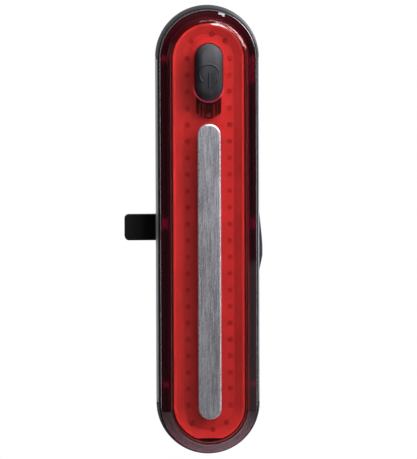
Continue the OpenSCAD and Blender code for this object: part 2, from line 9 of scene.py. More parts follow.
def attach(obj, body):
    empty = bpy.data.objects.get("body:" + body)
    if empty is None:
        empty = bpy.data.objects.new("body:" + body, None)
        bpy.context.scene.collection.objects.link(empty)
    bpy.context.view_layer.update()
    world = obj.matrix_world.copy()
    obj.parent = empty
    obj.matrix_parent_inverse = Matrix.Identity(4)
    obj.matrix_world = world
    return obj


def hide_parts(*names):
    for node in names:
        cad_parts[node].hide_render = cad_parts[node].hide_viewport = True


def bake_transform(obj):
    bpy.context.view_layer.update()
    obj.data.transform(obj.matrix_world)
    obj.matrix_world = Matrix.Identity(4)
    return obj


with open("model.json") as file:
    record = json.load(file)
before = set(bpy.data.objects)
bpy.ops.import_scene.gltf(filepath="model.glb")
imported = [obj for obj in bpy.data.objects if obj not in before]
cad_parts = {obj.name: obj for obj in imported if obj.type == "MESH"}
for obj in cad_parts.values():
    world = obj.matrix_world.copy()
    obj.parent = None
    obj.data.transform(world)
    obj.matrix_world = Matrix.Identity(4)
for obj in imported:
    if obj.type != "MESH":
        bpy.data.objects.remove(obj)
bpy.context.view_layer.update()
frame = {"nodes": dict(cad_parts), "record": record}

# One millimetre, in the scene's metres
MM = 0.001

# The photograph's frame in pixels, and the camera that looks at the lamp as it does
IMAGE_W, IMAGE_H = 417, 459
CAMERA_AZIMUTH, CAMERA_ELEVATION, CAMERA_ROLL = -2.67, 5.36, 0.193
CAMERA_DISTANCE = 1.5
FOCAL_PIXELS = 6750.0
# Where the middle of the lamp's belly lies in the photograph
LAMP_PIXEL = (207.5, 229.55)
LAMP_MIDDLE = Vector((0, -22 * MM, 0))
SENSOR_MM = 36.0

# Sizes repeated from the part's source, in millimetres
LAMP_BACK = 14.5
SPAN = 38.5
LENS_FACE, LENS_UNDER, LENS_BASE, LENS_EDGE_TOP = 16.7, 15.1, 12.0, 12.9
LENS_RADIUS, WINDOW_RADIUS, SKIRT_OUT, SKIRT_IN, SKIRT_FOOT = 10.69, 8.25, 9.15, 8.55, 9.6
WINDOW_ROUND, LENS_EDGE_ROUND, UNDER_ROUND, FACE_FLAT = 1.6, 1.2, 0.5, 6.6
BAND_RUN, BAND_DROP, BAND_WALL = LENS_RADIUS - WINDOW_RADIUS, LENS_FACE - LENS_EDGE_TOP, 1.2
BAND_SHIFT = BAND_WALL * math.hypot(BAND_RUN, BAND_DROP) / BAND_DROP
BAND_UNDER = (SKIRT_IN, LENS_FACE - (SKIRT_IN - WINDOW_RADIUS + BAND_SHIFT) * BAND_DROP / BAND_RUN)
FACE_UNDER = (WINDOW_RADIUS + (LENS_FACE - LENS_UNDER) * BAND_RUN / BAND_DROP - BAND_SHIFT, LENS_UNDER)
HOOK_X, HOOK_DEPTH, HOOK_HALF, HOOK_ROWS = (8.9, 9.75), (9.9, 10.7), 2.5, (-32.8, 1.8, 36.4)
HOLE_RADIUS, HOLE_BEVEL, TRAY_RIM = 3.2, 0.25, 7.35
HOLE_RIM = HOLE_RADIUS + HOLE_BEVEL
RUN_GAP = 0.2
COMB_FRONT = -LAMP_BACK - LENS_UNDER + RUN_GAP
BUTTON_MID, BUTTON_HALF, BUTTON_RADIUS, BUTTON_FACE = 35.7, 3.25, 3.0, 18.9
BUTTON_ROUND, BUTTON_CROWN, BUTTON_WALL, BUTTON_SKIN = 1.7, 14.0, 0.8, 1.8
FLANGE_RADIUS, FLANGE_FOOT, FLANGE_TOP = 3.5, 13.9, 14.4
STEM_RADIUS, STEM_FOOT, STEM_ROOT = 1.2, 15.55, 0.3
TONGUE_RADIUS, TONGUE_TIP, TONGUE_ROOT = 0.375, 26.55, 30.0
SIGN_DROP, SIGN_RADIUS, SIGN_HALF, SIGN_RISE = 0.35, 2.2, 0.22, 0.17
SIGN_BAR, SIGN_BAR_RISE = (0.6, -3.0), 0.1
STRIP_MID, STRIP_HALF, STRIP_RADIUS, STRIP_SINK = -8.6, 30.3, 2.6, 0.35
STRIP_FACE, STRIP_ROUND, SEAT_GAP = 16.85, 0.42, 0.05
LEG_X, STRAP_T, STRAP_HALF, TAB_HALF, TAB_Z = 8.9, 1.8, 5.0, 2.9, -0.25
BEAD_Y, BEAD_RADIUS, BEAD_FOOT, BEAD_TOP, BEAD_ROUND = -11.0, 1.3, -5.0, 4.3, 0.35
BEND_RADIUS, BEND_Y, TAB_TIP_X = 2.0, -10.0, -18.1
SLOT_Y, SLOT_HALF = (-7.05, -9.25), 2.35
TIP_ROUND, STRAP_EDGE = 1.0, 0.3
# Where the straight legs end: below the half turn and above the bend; and the rows' gap by the tab's ends
LEG_TOP, LEG_LOW, TAB_GAP = -0.8, -9.6, 0.6
# How far past the slot the strap starts and ends to narrow
NARROW_START, NARROW_END = 0.2, 1.8
TUBE_RADIUS, PAD_T, PAD_HALF, PAD_ANGLE = 8.0, 1.6, 9.0, 52.0
PAD_EDGE, PAD_PITCH, PAD_GROOVE, PAD_PLAIN = 0.6, 3.0, 0.3, 1.0
# Overshoot of a cut past the face that it opens
CUT = 1.0


class Val:
    """A number on a surface: an expression on values adds the Math nodes that work it out."""

    def __init__(self, shade, socket):
        self.shade = shade
        self.socket = socket

    def maths(self, operation, *values):
        return self.shade.add("ShaderNodeMath", {"operation": operation}, dict(enumerate(values)))

    def __add__(self, other):
        return self.maths("ADD", self, other)

    def __sub__(self, other):
        return self.maths("SUBTRACT", self, other)

    def __rsub__(self, other):
        return self.maths("SUBTRACT", other, self)

    def __mul__(self, other):
        return self.maths("MULTIPLY", self, other)

    def __pow__(self, other):
        return self.maths("POWER", self, other)

    __radd__ = __add__
    __rmul__ = __mul__

    def maximum(self, other):
        return self.maths("MAXIMUM", self, other)

    def magnitude(self):
        return self.maths("ABSOLUTE", self)

    def between(self, low, high):
        """0 below low, 1 above high, and a smooth step from one to the other."""
        return self.shade.add("ShaderNodeMapRange", {"interpolation_type": "SMOOTHSTEP"},
                              {"Value": self, "From Min": low, "From Max": high})


class Shade:
    """A material: add() makes any node, and its Principled shader takes the finish."""

    def __init__(self, name, tree=None):
        if tree is None:
            self.material = bpy.data.materials.new(name)
            self.material.use_nodes = True
            tree = self.material.node_tree
            self.finish = tree.nodes["Principled BSDF"]
            self.output = tree.nodes["Material Output"]
        self.tree = tree
        self.object_place = None

    def add(self, kind, settings=None, sockets=None, out=0):
        """A node of one kind, with its settings first, then its sockets; gives the output named by out."""
        node = self.tree.nodes.new(kind)
        for key, value in (settings or {}).items():
            setattr(node, key, value)
        for key, value in (sockets or {}).items():
            self.feed(node.inputs[key], value)
        return Val(self, node.outputs[out])

    def feed(self, socket, value):
        if isinstance(value, Val):
            self.tree.links.new(value.socket, socket)
        else:
            socket.default_value = value

    def place(self, scale=(1, 1, 1)):
        """Object coordinates in millimetres, stretched by scale."""
        if self.object_place is None:
            self.object_place = self.add("ShaderNodeTexCoord", out="Object")
        return self.add("ShaderNodeMapping", sockets={"Vector": self.object_place,
                                                      "Scale": tuple(s / MM for s in scale)})

    def noise(self, scale, detail=3.0, rough=0.55):
        """Noise whose features are 1 / scale millimetres long on each axis."""
        return self.add("ShaderNodeTexNoise", sockets={"Vector": self.place(scale), "Scale": 1.0,
                                                       "Detail": detail, "Roughness": rough})

    def mix(self, share, a, b):
        return self.add("ShaderNodeMix", {"data_type": "RGBA"}, {"Factor": share, 6: a, 7: b}, out=2)

    def bump(self, height, distance, strength=1.0):
        normal = self.add("ShaderNodeBump",
                          sockets={"Height": height, "Distance": distance, "Strength": strength})
        self.set(Normal=normal)

    def set(self, **values):
        """Sets the Principled shader's sockets, where an underscore stands for a space."""
        for key, value in values.items():
            self.feed(self.finish.inputs[key.replace("_", " ")], value)


def rgb(r, g, b):
    """A colour given as the eye sees it, 0 to 255, made linear."""
    c = np.array([r, g, b]) / 255
    linear = np.where(c <= 0.04045, c / 12.92, ((c + 0.055) / 1.055) ** 2.4)
    return (*linear.tolist(), 1)


def moulded(name, dark, light, rough, grain_mm, depth_mm, **constants):
    """Plastic or rubber: colour drifts from dark to light in soft patches, over a fine moulded grain."""
    s = Shade(name)
    patches = s.noise((0.12, 0.12, 0.12))
    grain = s.noise((1 / grain_mm,) * 3, detail=2.0)
    s.set(Base_Color=s.mix((patches * 0.7 + grain * 0.3).between(0.3, 0.7), dark, light),
          Roughness=rough - 0.06 + patches * 0.08 + grain * 0.04, **constants)
    s.bump(grain, depth_mm * MM)
    return s.material


def stadium_distance(s, z_mid, half):
    """Distance of a point from a stadium's middle line, its way past that line's ends, and its x and z."""
    x = s.add("ShaderNodeSeparateXYZ", sockets={0: s.place()}, out="X")
    z = Val(s, x.socket.node.outputs["Z"])
    past = ((z - z_mid).magnitude() - half).maximum(0)
    return (x * x + past * past) ** 0.5, past, x, z


# Metal of the strip where it is worn and bright, and bare at its edge, where it also carries a painted
# highlight
STRIP_WORN, STRIP_BRIGHT, STRIP_BARE_HIGHLIGHT = (0.40, 0.40, 0.42, 1), (0.93, 0.93, 0.94, 1), (0.97, 0.97, 0.97, 1)


def satin_strip(name):
    """Rubbed metal: long scratches over a fine speckle and worn patches, pale and matt along its edges, where
    bare metal carries a painted highlight.
    """
    s = Shade(name)
    scratch = s.noise((4.6, 4.6, 0.2), detail=4.0, rough=0.75)
    speckle = s.noise((3.6, 3.6, 2.4), detail=2.0, rough=0.7)
    patches = s.noise((0.35, 0.35, 0.12))
    wear = scratch * 0.55 + speckle * 0.25 + patches * 0.2
    out = stadium_distance(s, STRIP_MID, STRIP_HALF)[0]
    # The pale edge is bare metal and a painted highlight
    edge = out.between(STRIP_RADIUS - 0.5, STRIP_RADIUS - 0.3) * speckle.between(0.3, 0.6)
    metal = s.mix(wear.between(0.38, 0.62), STRIP_WORN, STRIP_BRIGHT)
    s.set(Base_Color=s.mix(edge, metal, STRIP_BARE_HIGHLIGHT), Metallic=1 - edge * 0.7,
          Roughness=0.26 + speckle * 0.3 - edge * 0.12)
    s.bump(scratch * 0.6 + speckle * 0.4, 0.03 * MM, 0.6)
    return s.material


def brushed(name, dark, light, rough, along):
    """Brushed metal: long scratches along one axis in colour, roughness and bump."""
    s = Shade(name)
    fine = s.noise(tuple(0.05 if axis == along else 14.0 for axis in "xyz"), detail=4.0, rough=0.7)
    broad = s.noise(tuple(0.03 if axis == along else 2.5 for axis in "xyz"), detail=3.0)
    scratch = fine * 0.65 + broad * 0.35
    s.set(Base_Color=s.mix(scratch.between(0.3, 0.72), dark, light), Metallic=1.0,
          Roughness=rough - 0.1 + scratch * 0.2)
    s.bump(scratch, 0.012 * MM, 0.5)
    return s.material


# Where painted glow stands for light at the snap hooks in the band: height, half length and side limits in
# millimetres
GLOW_ROWS = ((38.4, 0.8, -11.0, 11.0), (35.5, 2.6, 0.0, 11.0),
             (1.9, 1.3, -11.0, 11.0), (-33.9, 0.6, -11.0, 11.0))
# Colours of the painted glow: none, in the band, at its ends, at the hooks, at its lower edge, and a painted
# highlight at the hole
NO_GLOW, BAND_GLOW, END_GLOW = (0, 0, 0, 1), (0.005, 0.0002, 0.0012, 1), (0.02, 0.0015, 0.004, 1)
HOOK_GLOW, EDGE_GLOW, HOLE_GLOW = (0.06, 0.001, 0.009, 1), (0.12, 0.006, 0.025, 1), (0.25, 0.025, 0.05, 1)


def painted_glow(s, clouds):
    """Painted glow in the red plastic: faint in the band, more at its ends, hooks and lower edge, and a
    painted highlight at the hole.
    """
    out, past, x, z = stadium_distance(s, 0, SPAN)
    band = out.between(8.7, 9.2) * (1 - out.between(10.0, 10.5))
    spots = 0
    for row, half, low, high in GLOW_ROWS:
        side = x.between(low - 0.1, low + 0.1) * (1 - x.between(high - 0.1, high + 0.1))
        spots = spots + side * (1 - (z - row).magnitude().between(0.4 * half, 1.4 * half))
    specks = s.noise((1.6, 1.6, 1.2), detail=2.0)
    glow = s.mix(band, NO_GLOW, BAND_GLOW)
    glow = s.mix(band * past.between(1.0, 8.0) * (0.5 + clouds * 0.8), glow, END_GLOW)
    glow = s.mix(spots * band * (clouds * 0.4 + specks.between(0.35, 0.7)), glow, HOOK_GLOW)
    low_edge = out.between(9.9, 10.6) * past.between(2.0, 10.0) * (1 - z.between(-1, 1))
    glow = s.mix(low_edge, glow, EDGE_GLOW)
    # A painted highlight along the lower rim of the button's hole
    hole = stadium_distance(s, BUTTON_MID, BUTTON_HALF)[0]
    hole_rim = hole.between(HOLE_RADIUS - 0.05, HOLE_RADIUS + 0.05)
    hole_rim = hole_rim * (1 - hole.between(HOLE_RIM, HOLE_RIM + 0.1))
    foot = 1 - z.between(BUTTON_MID - BUTTON_HALF - 1.2, BUTTON_MID - BUTTON_HALF + 0.6)
    return s.mix(hole_rim * foot, glow, HOLE_GLOW)


def red_lens(name):
    """Clear red moulded plastic with faint flow clouds and painted glow; lamps shine through it."""
    s = Shade(name)
    clouds = s.noise((0.15, 0.15, 0.05))
    # The emission colour is painted glow, and a painted highlight at the hole's rim
    s.set(Base_Color=s.mix(clouds, (0.80, 0.205, 0.20, 1), (0.86, 0.23, 0.22, 1)),
          Roughness=0.01 + clouds * 0.02, IOR=1.5, Transmission_Weight=1.0,
          Emission_Color=painted_glow(s, clouds), Emission_Strength=1.0)
    shadow = s.add("ShaderNodeLightPath", out="Is Shadow Ray")
    clear = s.add("ShaderNodeBsdfTransparent", sockets={"Color": (0.80, 0.215, 0.205, 1)})
    surface = s.add("ShaderNodeMixShader", sockets={0: shadow, 1: Val(s, s.finish.outputs[0]), 2: clear})
    s.feed(s.output.inputs["Surface"], surface)
    return s.material


def white_tray(name):
    """Matte white plastic, its outer rim a little paler than its floor: painted light on the rim."""
    s = Shade(name)
    out = stadium_distance(s, 0, SPAN)[0]
    patches = s.noise((0.12, 0.12, 0.12))
    grain = s.noise((2.5, 2.5, 2.5), detail=2.0)
    floor = s.mix((patches * 0.7 + grain * 0.3).between(0.3, 0.7), rgb(219, 217, 212), rgb(234, 232, 228))
    # The paler rim is painted light
    s.set(Base_Color=s.mix(out.between(TRAY_RIM - 0.1, TRAY_RIM + 0.1), floor, rgb(250, 249, 246)),
          Roughness=0.5 + patches * 0.08, Specular_IOR_Level=0.1)
    s.bump(grain, 0.01 * MM)
    return s.material


def comb_painted_light(name):
    """Moulded comb: dark on the front of its ribs, with painted light in the gaps between them."""
    s = Shade(name)
    y = s.add("ShaderNodeSeparateXYZ", sockets={0: s.place()}, out="Y")
    grain = s.noise((3.3, 3.3, 3.3), detail=2.0)
    front = 1 - y.between(COMB_FRONT + 0.3, COMB_FRONT + 0.5)
    # Below the rib fronts the comb is painted pale: painted light where the gaps are in shade
    s.set(Base_Color=s.mix(front, rgb(236, 232, 226), s.mix(grain, rgb(26, 20, 21), rgb(44, 34, 35))),
          Roughness=0.46 + grain * 0.08)
    s.bump(grain, 0.01 * MM)
    return s.material


def circuit_board(name, mask, track):
    """Solder mask over copper tracks: a grid of fine lines that shows through as a second colour."""
    s = Shade(name)
    lines = s.add("ShaderNodeTexBrick", {"offset": 0.5},
                  {"Vector": s.place((0.6, 0.6, 0.6)), "Scale": 1.0, "Mortar Size": 0.06}, out="Fac")
    speck = s.noise((0.4, 0.4, 0.4))
    s.set(Base_Color=s.mix(lines * speck, mask, track), Roughness=0.32 + speck * 0.1)
    s.bump(lines, 0.02 * MM)
    return s.material


# Finishes of the pieces
FINISHES = {
    "housing": moulded("housing_plastic", rgb(25, 25, 26), rgb(36, 36, 37), 0.55, 0.25, 0.012,
                        Specular_IOR_Level=0.18),
    "side_trim": moulded("side_trim_plastic", rgb(112, 114, 119), rgb(132, 134, 139), 0.38, 0.3, 0.006),
    "seal": moulded("seal_rubber", rgb(9, 9, 9), rgb(18, 18, 18), 0.7, 0.2, 0.01),
    "lens": red_lens("lens_red"),
    "strip": satin_strip("strip_satin"),
    "button": moulded("button_rubber", rgb(33, 34, 37), rgb(72, 73, 77), 0.56, 0.22, 0.05,
                      Specular_IOR_Level=0.38),
    "inner_black": moulded("inner_black_plastic", rgb(8, 8, 8), rgb(17, 16, 16), 0.5, 0.3, 0.01),
    "tray": white_tray("tray_white_plastic"),
    "board_white": circuit_board("light_board", rgb(226, 226, 220), rgb(196, 196, 188)),
    "led": moulded("light_chip_gel", rgb(192, 182, 172), rgb(210, 201, 190), 0.45, 0.3, 0.01,
                   Specular_IOR_Level=0.2),
    "plunger": moulded("plunger_plastic", rgb(190, 150, 70), rgb(205, 168, 90), 0.4, 0.2, 0.01),
    "board_green": circuit_board("control_board_mask", rgb(22, 84, 46), rgb(48, 122, 72)),
    "chip": moulded("chip_resin", rgb(22, 22, 24), rgb(34, 34, 37), 0.5, 0.15, 0.01),
    "screw": brushed("steel", (0.4, 0.4, 0.42, 1), (0.6, 0.6, 0.62, 1), 0.35, "x"),
    "battery": brushed("battery_foil", (0.42, 0.43, 0.46, 1), (0.6, 0.61, 0.64, 1), 0.45, "x"),
    "foam": moulded("foam_pad", rgb(38, 38, 42), rgb(58, 58, 62), 0.9, 0.5, 0.08),
    "wire": moulded("wire_sleeve", rgb(150, 24, 20), rgb(178, 34, 28), 0.4, 0.3, 0.01),
    "cover": moulded("cover_rubber", rgb(23, 23, 24), rgb(35, 35, 36), 0.66, 0.2, 0.02),
    "bracket": moulded("bracket_nylon", rgb(17, 17, 18), rgb(28, 28, 30), 0.48, 0.22, 0.02),
    "strap": moulded("strap_rubber", rgb(14, 14, 14), rgb(23, 23, 23), 0.7, 0.18, 0.02,
                      Specular_IOR_Level=0.4),
}
# The comb and the frame round the tray share a slot with the switch, but each has a finish of its own
OWN_FINISH = {"button_guide": comb_painted_light("comb_painted_light"),
              # The frame round the tray is black; its dark red is painted light from the red lens
              "bezel_frame": moulded("bezel_painted_red_light", rgb(58, 19, 28), rgb(78, 28, 40), 0.5, 0.3, 0.01)}
for part in frame["record"]["subparts"]:
    node = frame["nodes"][part["node"]]
    node.data.materials.clear()
    node.data.materials.append(OWN_FINISH.get(part["node"], FINISHES[part["material_slot"]]))


def grid_faces(rows, columns, ring_rows=False, ring_columns=False):
    """Quads between neighbours on a grid of points, with its rows or columns closed into rings."""
    i = np.arange(rows if ring_rows else rows - 1)[:, None]
    j = np.arange(columns if ring_columns else columns - 1)[None, :]
    here, below = i * columns, (i + 1) % rows * columns
    right = (j + 1) % columns
    return np.stack([here + j, below + j, below + right, here + right], -1).reshape(-1, 4)


def make_mesh(name, grids, smooth_angle=35):
    """One mesh from grids of points in millimetres and their faces; doubles merged, faces turned outward."""
    points, faces, base = [], [], 0
    for grid, quads in grids:
        points.append(np.asarray(grid, float).reshape(-1, 3))
        faces.append(quads + base)
        base += len(points[-1])
    mesh = bpy.data.meshes.new(name)
    mesh.from_pydata((np.concatenate(points) * MM).tolist(), [], np.concatenate(faces).tolist())
    work = bmesh.new()
    work.from_mesh(mesh)
    bmesh.ops.remove_doubles(work, verts=work.verts, dist=0.001 * MM)
    bmesh.ops.dissolve_degenerate(work, edges=work.edges, dist=0.0001 * MM)
    bmesh.ops.recalc_face_normals(work, faces=work.faces)
    work.to_mesh(mesh)
    work.free()
    mesh.shade_smooth()
    mesh.set_sharp_from_angle(angle=math.radians(smooth_angle))
    piece = bpy.data.objects.new(name, mesh)
    bpy.context.scene.collection.objects.link(piece)
    return piece


def dress(piece, body, slot, replaced=()):
    """Gives a piece its finish, the body it rides on and the solids it stands for."""
    piece.data.materials.clear()
    piece.data.materials.append(FINISHES[slot])
    if body:
        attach(piece, body)
    if replaced:
        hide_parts(*replaced)


def rounded_corner(before, corner, after, radius, steps=14):
    """Points of the arc that rounds a corner: it touches both legs, and its middle lies on their bisector."""
    b = np.array(corner, float)
    u = np.array(before) - b
    v = np.array(after) - b
    u, v = u / np.linalg.norm(u), v / np.linalg.norm(v)
    half = math.acos(float(u @ v)) / 2
    middle = b + (u + v) / np.linalg.norm(u + v) * radius / math.sin(half)
    start, end = b + u * radius / math.tan(half) - middle, b + v * radius / math.tan(half) - middle
    t = np.linspace(0, 1, steps + 1)[:, None]
    sweep = math.pi - 2 * half
    return middle + (np.sin((1 - t) * sweep) * start + np.sin(t * sweep) * end) / math.sin(sweep)


def stadium(profile, half, z_mid, arc_steps=40, side_steps=1):
    """A profile [radius, depth] carried round a stadium: a point lies its radius out from the middle line."""
    arc = np.linspace(0, math.pi, arc_steps + 1)
    side = np.linspace(half, -half, side_steps + 1)[1:-1]
    turn = np.concatenate([arc, np.full(len(side), math.pi), arc + math.pi, np.full(len(side), 2 * math.pi)])
    end = np.full(len(arc), half)
    middle = np.concatenate([end, side, -end, -side]) + z_mid
    radius, depth = np.asarray(profile, float).T
    x = np.cos(turn)[:, None] * radius
    z = middle[:, None] + np.sin(turn)[:, None] * radius
    y = np.broadcast_to(-LAMP_BACK - depth, x.shape)
    return np.stack([x, y, z], -1), grid_faces(len(turn), len(radius), ring_rows=True)


def combine(piece, cut=(), joined=()):
    """Cuts closed tools out of a piece or joins them to it, and removes the tools."""
    tools = [(tool, "DIFFERENCE") for tool in cut] + [(tool, "UNION") for tool in joined]
    for tool, way in tools:
        step = piece.modifiers.new(tool.name, "BOOLEAN")
        step.object = tool
        step.operation = way
        step.solver = "EXACT"
    bpy.context.view_layer.update()
    mesh = bpy.data.meshes.new_from_object(piece.evaluated_get(bpy.context.evaluated_depsgraph_get()))
    piece.modifiers.clear()
    piece.data = mesh
    for tool, _ in tools:
        bpy.data.objects.remove(tool)


def make_block(name, across, depth, along):
    """A closed block between two limits across, in depth and along."""
    x, d, z = np.meshgrid(sorted(across), sorted(depth), sorted(along), indexing="ij")
    corners = np.stack([x, -LAMP_BACK - d, z], -1)
    sides = np.array([[0, 1, 3, 2], [4, 6, 7, 5], [0, 4, 5, 1], [2, 3, 7, 6], [0, 2, 6, 4], [1, 5, 7, 3]])
    return make_mesh(name, [(corners, sides)])


def make_lens():
    """The lens: face, rounded edge, sloping band and skirt, one profile carried round the lamp's stadium."""
    window_edge, lens_edge = (WINDOW_RADIUS, LENS_FACE), (LENS_RADIUS, LENS_EDGE_TOP)
    profile = np.concatenate([
        [(0, LENS_FACE), (FACE_FLAT, LENS_FACE)],
        rounded_corner((0, LENS_FACE), window_edge, lens_edge, WINDOW_ROUND),
        rounded_corner(window_edge, lens_edge, (LENS_RADIUS, LENS_BASE), LENS_EDGE_ROUND),
        [(LENS_RADIUS, LENS_BASE), (SKIRT_OUT, LENS_BASE), (SKIRT_OUT, SKIRT_FOOT), (SKIRT_IN, SKIRT_FOOT)],
        [BAND_UNDER],
        rounded_corner(BAND_UNDER, FACE_UNDER, (0, LENS_UNDER), UNDER_ROUND),
        [(FACE_FLAT, LENS_UNDER), (0, LENS_UNDER)]])
    lens = make_mesh("lens_shell", [stadium(profile, SPAN, 0)])
    hole = make_mesh("button_hole", [stadium(
        [(0, LENS_UNDER - CUT), (HOLE_RADIUS, LENS_UNDER - CUT), (HOLE_RADIUS, LENS_FACE - HOLE_BEVEL),
         (HOLE_RIM + CUT, LENS_FACE + CUT), (0, LENS_FACE + CUT)], BUTTON_HALF, BUTTON_MID)])
    seat = make_mesh("strip_seat", [stadium(
        [(0, LENS_FACE - STRIP_SINK), (STRIP_RADIUS + SEAT_GAP, LENS_FACE - STRIP_SINK),
         (STRIP_RADIUS + SEAT_GAP, LENS_FACE + CUT), (0, LENS_FACE + CUT)], STRIP_HALF, STRIP_MID)])
    hooks = [make_block("hook", (side * HOOK_X[0], side * HOOK_X[1]), HOOK_DEPTH,
                        (row - HOOK_HALF, row + HOOK_HALF))
             for row in HOOK_ROWS for side in (-1, 1)]
    combine(lens, [hole, seat], hooks)
    lens.data.shade_smooth()
    lens.data.set_sharp_from_angle(angle=math.radians(28))
    lens.modifiers.new("face_normals", "WEIGHTED_NORMAL").keep_sharp = True
    dress(lens, "lamp", "lens", ["front_lens"])


def make_strip():
    """The strip: a flat face with a rounded edge and a flat foot as one profile carried round a stadium."""
    foot = LENS_FACE - STRIP_SINK
    edge = (STRIP_RADIUS, STRIP_FACE)
    profile = np.concatenate([
        [(0, STRIP_FACE), (STRIP_RADIUS - 2 * STRIP_ROUND, STRIP_FACE)],
        rounded_corner((0, STRIP_FACE), edge, (STRIP_RADIUS, foot), STRIP_ROUND, 8),
        [(STRIP_RADIUS, foot), (0, foot)]])
    plate = make_mesh("strip_plate", [stadium(profile, STRIP_HALF, STRIP_MID)])
    dress(plate, "lamp", "strip", ["silver_strip"])


def smooth_step(value, low, high):
    """0 below low, 1 above high, and a cubic from one to the other."""
    t = np.clip((value - low) / (high - low), 0, 1)
    return t * t * (3 - 2 * t)


def crowned(depth, z):
    """Depth lowered by the crown, a circle along the length: in full at the face, not at all at the lens."""
    drop = BUTTON_CROWN - np.sqrt(BUTTON_CROWN ** 2 - (z - BUTTON_MID) ** 2)
    return depth - drop * smooth_step(depth, LENS_FACE, BUTTON_FACE)


def button_depth(x, z):
    """Depth of the button's face: its rounded edge, lowered by the crown."""
    past = np.hypot(x, np.maximum(np.abs(z - BUTTON_MID) - BUTTON_HALF, 0)) - (BUTTON_RADIUS - BUTTON_ROUND)
    edge = BUTTON_FACE - BUTTON_ROUND + np.sqrt(BUTTON_ROUND ** 2 - np.clip(past, 0, BUTTON_ROUND) ** 2)
    return crowned(edge, z)


def make_button():
    """The button: face, wall and flange, a profile carried round a stadium and crowned; stem and tongue."""
    inner = BUTTON_RADIUS - BUTTON_WALL
    under = BUTTON_FACE - BUTTON_SKIN
    face_edge = (BUTTON_RADIUS, BUTTON_FACE)
    flat = np.linspace(0, BUTTON_RADIUS - BUTTON_ROUND, 5)[:-1]
    profile = np.concatenate([
        np.stack([flat, np.full(len(flat), BUTTON_FACE)], 1),
        rounded_corner((0, BUTTON_FACE), face_edge, (BUTTON_RADIUS, FLANGE_TOP), BUTTON_ROUND),
        [(BUTTON_RADIUS, FLANGE_TOP), (FLANGE_RADIUS, FLANGE_TOP), (FLANGE_RADIUS, FLANGE_FOOT)],
        [(inner, FLANGE_FOOT), (inner, under), (0, under)]])
    cap, cap_faces = stadium(profile, BUTTON_HALF, BUTTON_MID, side_steps=24)
    cap[..., 1] = -LAMP_BACK - crowned(-LAMP_BACK - cap[..., 1], cap[..., 2])
    stem_top = under + STEM_ROOT
    stem = [(0, STEM_FOOT), (STEM_RADIUS, STEM_FOOT), (STEM_RADIUS, stem_top), (0, stem_top)]
    tongue = [(0, FLANGE_FOOT), (TONGUE_RADIUS, FLANGE_FOOT), (TONGUE_RADIUS, FLANGE_TOP), (0, FLANGE_TOP)]
    tongue_half = (TONGUE_ROOT - TONGUE_TIP) / 2 - TONGUE_RADIUS
    grids = [(cap, cap_faces), stadium(stem, 0, BUTTON_MID, 16),
             stadium(tongue, tongue_half, (TONGUE_ROOT + TONGUE_TIP) / 2, 12)]
    dress(make_mesh("button_cap", grids, 50), "button", "button", ["power_button"])


def ridge(x, z, half_width, height, steps=12):
    """A raised line: a flat ellipse carried along a path on the button's face, drawn in at both ends."""
    step = np.hypot(np.diff(x), np.diff(z))
    along = np.concatenate([[0], np.cumsum(step)])
    near = np.minimum(along, along[-1] - along)
    taper = np.sqrt(np.clip(1 - (1 - np.minimum(near / half_width, 1)) ** 2, 0, 1))[:, None]
    dx, dz = np.gradient(x, along)[:, None], np.gradient(z, along)[:, None]
    t = np.linspace(0, 2 * math.pi, steps, endpoint=False)
    side = half_width * taper * np.cos(t)
    px, pz = x[:, None] - dz * side, z[:, None] + dx * side
    depth = button_depth(px, pz) + height * taper * np.sin(t)
    return np.stack([px, -LAMP_BACK - depth, pz], -1), grid_faces(len(x), steps, ring_columns=True)


def make_power_sign():
    """The power sign: a broken ring round the button's middle, open below, and a bar through the opening."""
    turn = np.radians(np.linspace(-48, 228, 80))
    middle = BUTTON_MID - SIGN_DROP
    ring = ridge(SIGN_RADIUS * np.cos(turn), middle + SIGN_RADIUS * np.sin(turn), SIGN_HALF, SIGN_RISE)
    bar = ridge(np.zeros(40), middle + np.linspace(*SIGN_BAR, 40), SIGN_HALF, SIGN_BAR_RISE)
    dress(make_mesh("power_sign", [ring, bar], 60), "button", "button")


def strap_path():
    """The strap's middle line: from the bead, half round the tube, and by a bend to the tab's tip."""
    turn = np.radians(np.linspace(0, 180, 73))
    bend = np.radians(np.linspace(0, -90, 13))
    right = np.stack([np.full(14, LEG_X), np.linspace(BEAD_Y, LEG_TOP, 14)], 1)
    round_tube = LEG_X * np.stack([np.cos(turn), np.sin(turn)], 1)
    leg_y = np.concatenate([np.linspace(LEG_TOP, SLOT_Y[0], 8), np.linspace(*SLOT_Y, 4)[1:], [LEG_LOW]])
    left = np.stack([np.full(len(leg_y), -LEG_X), leg_y], 1)
    round_bend = [-LEG_X - BEND_RADIUS, BEND_Y] + BEND_RADIUS * np.stack([np.cos(bend), np.sin(bend)], 1)
    tip = TAB_TIP_X + TIP_ROUND * (1 - np.sin(np.radians(np.linspace(0, 90, 10))))
    tab_root = -LEG_X - BEND_RADIUS - TAB_GAP
    tab_x = np.concatenate([np.linspace(tab_root, TAB_TIP_X + TIP_ROUND + TAB_GAP, 8), tip])
    tab = np.stack([tab_x, np.full(len(tab_x), BEND_Y - BEND_RADIUS)], 1)
    return np.concatenate([right, round_tube, left, round_bend, tab])


